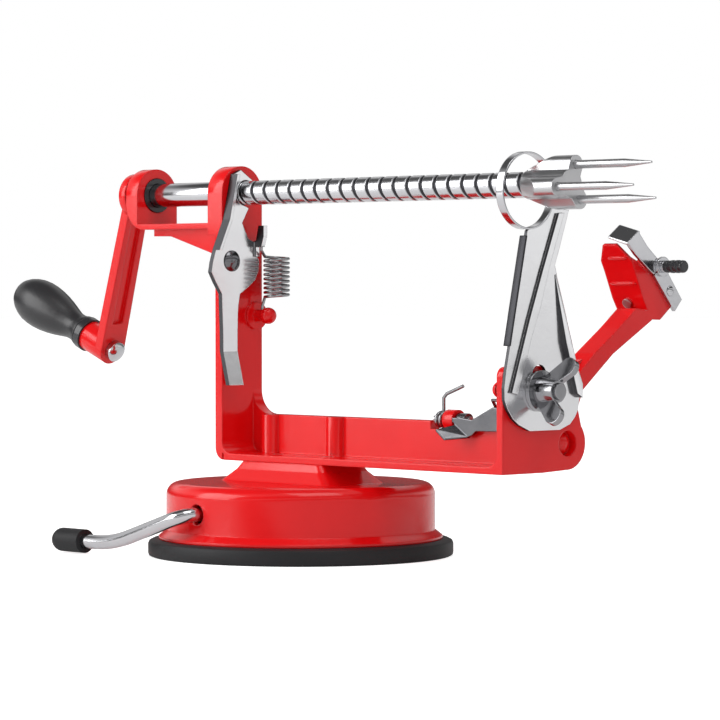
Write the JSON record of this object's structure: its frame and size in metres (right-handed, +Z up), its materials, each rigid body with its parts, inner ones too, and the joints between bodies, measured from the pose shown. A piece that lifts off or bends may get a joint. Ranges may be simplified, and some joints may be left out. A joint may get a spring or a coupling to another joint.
{
  "type": "apple peeler",
  "caption": "Hand cranked apple peeler and corer: red cast frame on a suction base, threaded feed shaft with pronged fork, coring ring and sprung peeling arm.",
  "frame": {"origin": "centre of the base pad's flat underside, on the table", "axes": "+X along the feed shaft from the crank to the fork, +Y to the side that the peeling arm hangs on, +Z up"},
  "size_m": [0.2995, 0.1323, 0.129],
  "materials": {
    "red_paint": "gloss",
    "chrome": "polished",
    "steel": "satin",
    "dark_chrome": "polished",
    "rubber": "matt",
    "grip_plastic": "satin",
    "black_plastic": "gloss"
  },
  "bodies": {
    "stand": {"frame": "red_paint", "base_housing": "red_paint", "base_screws": "steel", "suction_pad": "rubber", "lever_rivet": "chrome", "release_spring": "chrome", "arm_stud": "chrome", "peeler_pin": "steel", "pin_clip": "steel", "peeler_spring": "steel", "latch_pin": "steel", "latch_spring": "steel"},
    "bush": {"shaft_bush": "black_plastic"},
    "shaft": {"feed_shaft": "chrome", "fork_hub": "chrome", "fork_prongs": "chrome", "crank_arm": "red_paint", "crank_screw": "steel", "grip_axle": "steel", "grip_nut": "chrome", "grip_collar": "black_plastic"},
    "grip": {"grip": "grip_plastic"},
    "feed_lever": {"release_lever": "chrome"},
    "washer": {"clamp_washer": "chrome"},
    "wing_nut": {"wing_nut": "chrome"},
    "coring_blade": {"blade_arm": "chrome", "coring_ring": "chrome"},
    "peeler": {"peeler_arm": "red_paint", "peeler_blade": "chrome", "blade_guard": "chrome", "blade_screw": "chrome", "blade_washer": "chrome", "screw_sleeve": "black_plastic", "guard_screw": "chrome", "lock_screw": "steel"},
    "latch": {"latch_lever": "dark_chrome"},
    "suction_lever": {"suction_lever": "chrome", "lever_cap": "rubber", "cam_clip": "steel"},
    "stem": {"pad_stem": "steel"}
  },
  "joints": [
    {"name": "crank_turn", "type": "hinge", "parent": "stand", "child": "bush", "pos_m": [-0.075, 0, 0.1188], "axis": [1, 0, 0], "range_deg": [-7200, 0]},
    {"name": "shaft_advance", "type": "slide", "parent": "bush", "child": "shaft", "axis": [1, 0, 0], "range_m": [-0.12, 0]},
    {"name": "grip_spin", "type": "hinge", "parent": "shaft", "child": "grip", "pos_m": [-0.10258, 0.00653, 0.0656], "axis": [0.9184, 0.0482, -0.3926], "continuous": true},
    {"name": "feed_lever_turn", "type": "hinge", "parent": "stand", "child": "feed_lever", "pos_m": [-0.0273, -0.0064, 0.0962], "axis": [1, 0, 0], "range_deg": [0, 12], "stiffness_Nm_per_rad": 0.5, "springref_deg": -11.46, "deforming": ["release_spring"]},
    {"name": "washer_slide", "type": "slide", "parent": "stand", "child": "washer", "axis": [1, 0, 0], "range_m": [0, 0.0025]},
    {"name": "wing_nut_turn", "type": "hinge", "parent": "washer", "child": "wing_nut", "pos_m": [0.104, 0.006, 0.0557], "axis": [1, 0, 0], "range_deg": [0, 720]},
    {"name": "blade_height", "type": "slide", "parent": "stand", "child": "coring_blade", "axis": [0, 0, 1], "range_m": [-0.005, 0]},
    {"name": "peeler_swing", "type": "hinge", "parent": "stand", "child": "peeler", "pos_m": [0.09, 0.0206, 0.039], "axis": [1, 0, 0], "range_deg": [0, 36], "deforming": ["peeler_spring"]},
    {"name": "latch_turn", "type": "hinge", "parent": "stand", "child": "latch", "pos_m": [0.068, 0.006, 0.0458], "axis": [1, 0, 0], "range_deg": [-25, 0], "stiffness_Nm_per_rad": 0.02, "springref_deg": 17.19},
    {"name": "suction_turn", "type": "hinge", "parent": "stand", "child": "suction_lever", "pos_m": [-0.002, 0, 0.015], "axis": [0, 1, 0], "range_deg": [0, 170]},
    {"name": "stem_lift", "type": "slide", "parent": "stand", "child": "stem", "axis": [0, 0, 1], "range_m": [0, 0.00297], "deforming": ["suction_pad"]}
  ],
  "couplings": [
    {"joint": "shaft_advance", "follows": "crank_turn", "m_per_rad": 0.00095493},
    {"joint": "wing_nut_turn", "follows": "washer_slide", "rad_per_m": 5026.5},
    {"joint": "suction_turn", "follows": "stem_lift", "rad_per_m": 996.5}
  ]
}
